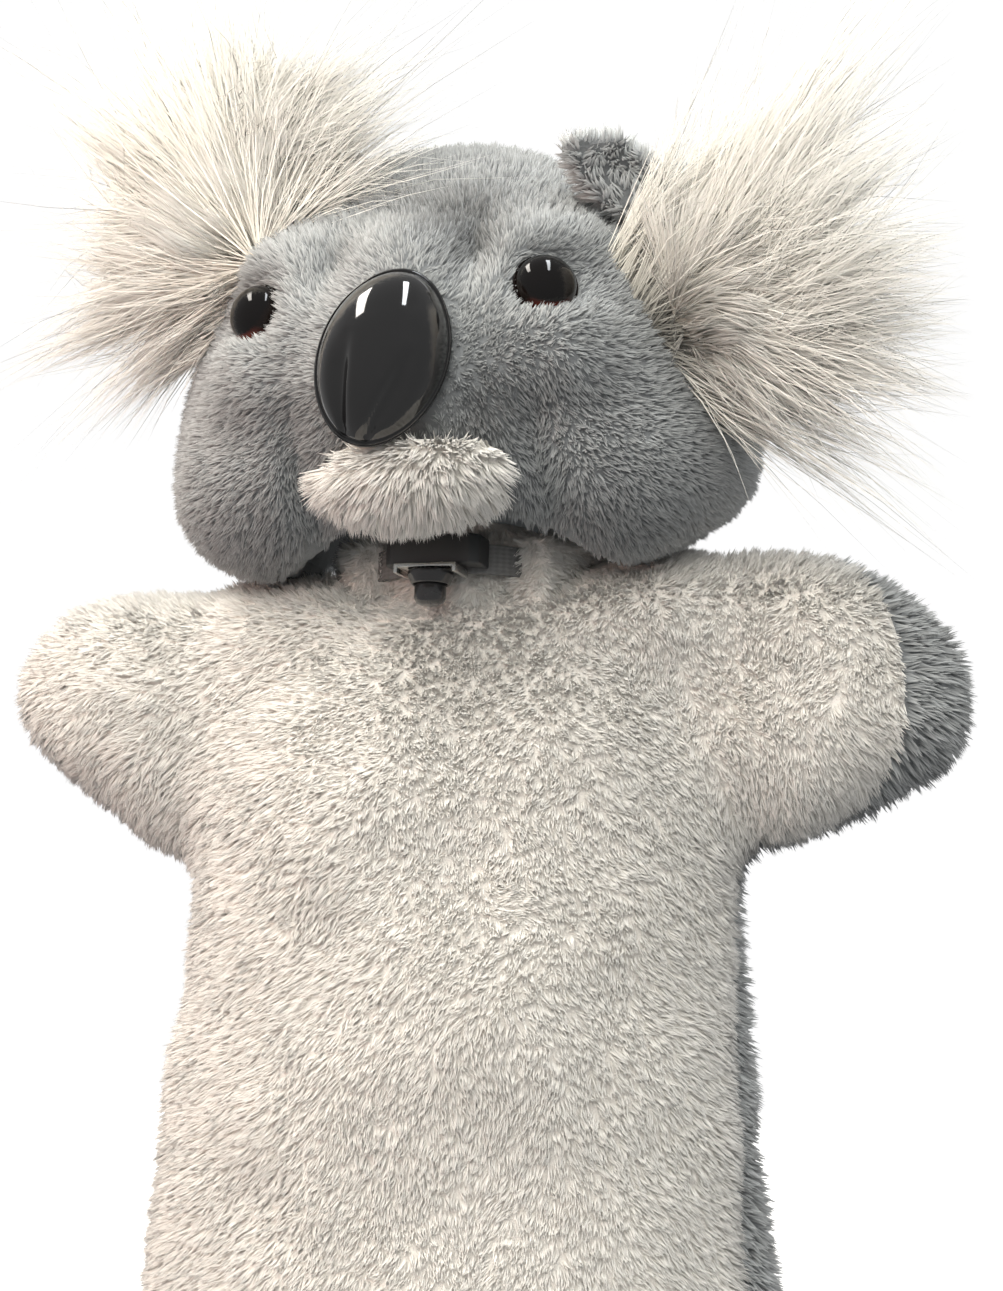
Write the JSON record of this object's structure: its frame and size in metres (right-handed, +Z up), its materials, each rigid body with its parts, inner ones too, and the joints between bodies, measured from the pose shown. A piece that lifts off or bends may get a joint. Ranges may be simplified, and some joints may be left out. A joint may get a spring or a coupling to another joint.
{
  "type": "hand puppet",
  "caption": "Plush koala glove puppet with a stuffed head that turns and nods, finger arms that swing, long-haired ears and an open sleeve for a hand.",
  "frame": {"origin": "middle of the open hem, on the plane that the hem rests on", "axes": "+Z up towards the head, -Y towards the front of the body, +X towards the puppet's own left"},
  "size_m": [0.24, 0.1227, 0.3169],
  "materials": {
    "white_plush": "plush",
    "grey_plush": "plush",
    "cream_hair": "plush",
    "gloss_black": "gloss",
    "amber_eye": "gloss",
    "washer_plastic": "satin",
    "stuffing_fibre": "plush",
    "card": "matt card",
    "strap_webbing": "webbing",
    "block_plastic": "matt",
    "steel": "bright"
  },
  "bodies": {
    "torso": {"body_front": "white_plush", "body_back": "grey_plush"},
    "arm_left": {"arm_front_left": "white_plush", "arm_back_left": "grey_plush"},
    "arm_right": {"arm_front_right": "white_plush", "arm_back_right": "grey_plush"},
    "neck": {"neck_strap": "strap_webbing", "strap_block": "block_plastic", "clip_plate": "steel", "button_bezel": "gloss_black"},
    "button": {"push_button": "gloss_black"},
    "head": {"head_cover": "grey_plush", "head_stuffing": "stuffing_fibre", "finger_tube": "card", "chin_patch": "white_plush", "nose": "gloss_black", "nose_washer": "washer_plastic", "eye_left": "amber_eye", "eye_right": "amber_eye", "eye_washer_left": "washer_plastic", "eye_washer_right": "washer_plastic"},
    "ear_left": {"ear_front_left": "cream_hair", "ear_back_left": "grey_plush"},
    "ear_right": {"ear_front_right": "cream_hair", "ear_back_right": "grey_plush"}
  },
  "joints": [
    {"name": "head_turn", "type": "hinge", "parent": "torso", "child": "neck", "pos_m": [0, 0, 0.188], "axis": [0, 0, 1], "range_deg": [-40, 48], "stiffness_Nm_per_rad": 0.1},
    {"name": "head_nod", "type": "hinge", "parent": "neck", "child": "head", "pos_m": [0, 0, 0.188], "axis": [0.9976, -0.0698, 0], "range_deg": [-18, 8], "stiffness_Nm_per_rad": 0.9},
    {"name": "arm_left_swing", "type": "hinge", "parent": "torso", "child": "arm_left", "pos_m": [0.058, -0.018, 0.15], "axis": [0, 0, -1], "range_deg": [0, 40], "stiffness_Nm_per_rad": 0.1},
    {"name": "arm_right_swing", "type": "hinge", "parent": "torso", "child": "arm_right", "pos_m": [-0.058, -0.018, 0.15], "axis": [0, 0, 1], "range_deg": [0, 40], "stiffness_Nm_per_rad": 0.1},
    {"name": "ear_left_fold", "type": "hinge", "parent": "head", "child": "ear_left", "pos_m": [0.05504, -0.03708, 0.23746], "axis": [0.5082, 0.1003, -0.8554], "range_deg": [-15, 25], "stiffness_Nm_per_rad": 0.08},
    {"name": "ear_right_fold", "type": "hinge", "parent": "head", "child": "ear_right", "pos_m": [-0.04759, -0.03326, 0.25863], "axis": [0.6329, -0.1644, 0.7566], "range_deg": [-15, 25], "stiffness_Nm_per_rad": 0.08},
    {"name": "button_press", "type": "slide", "parent": "neck", "child": "button", "axis": [0, 0, 1], "range_m": [0, 0.0015], "stiffness_N_per_m": 400}
  ]
}
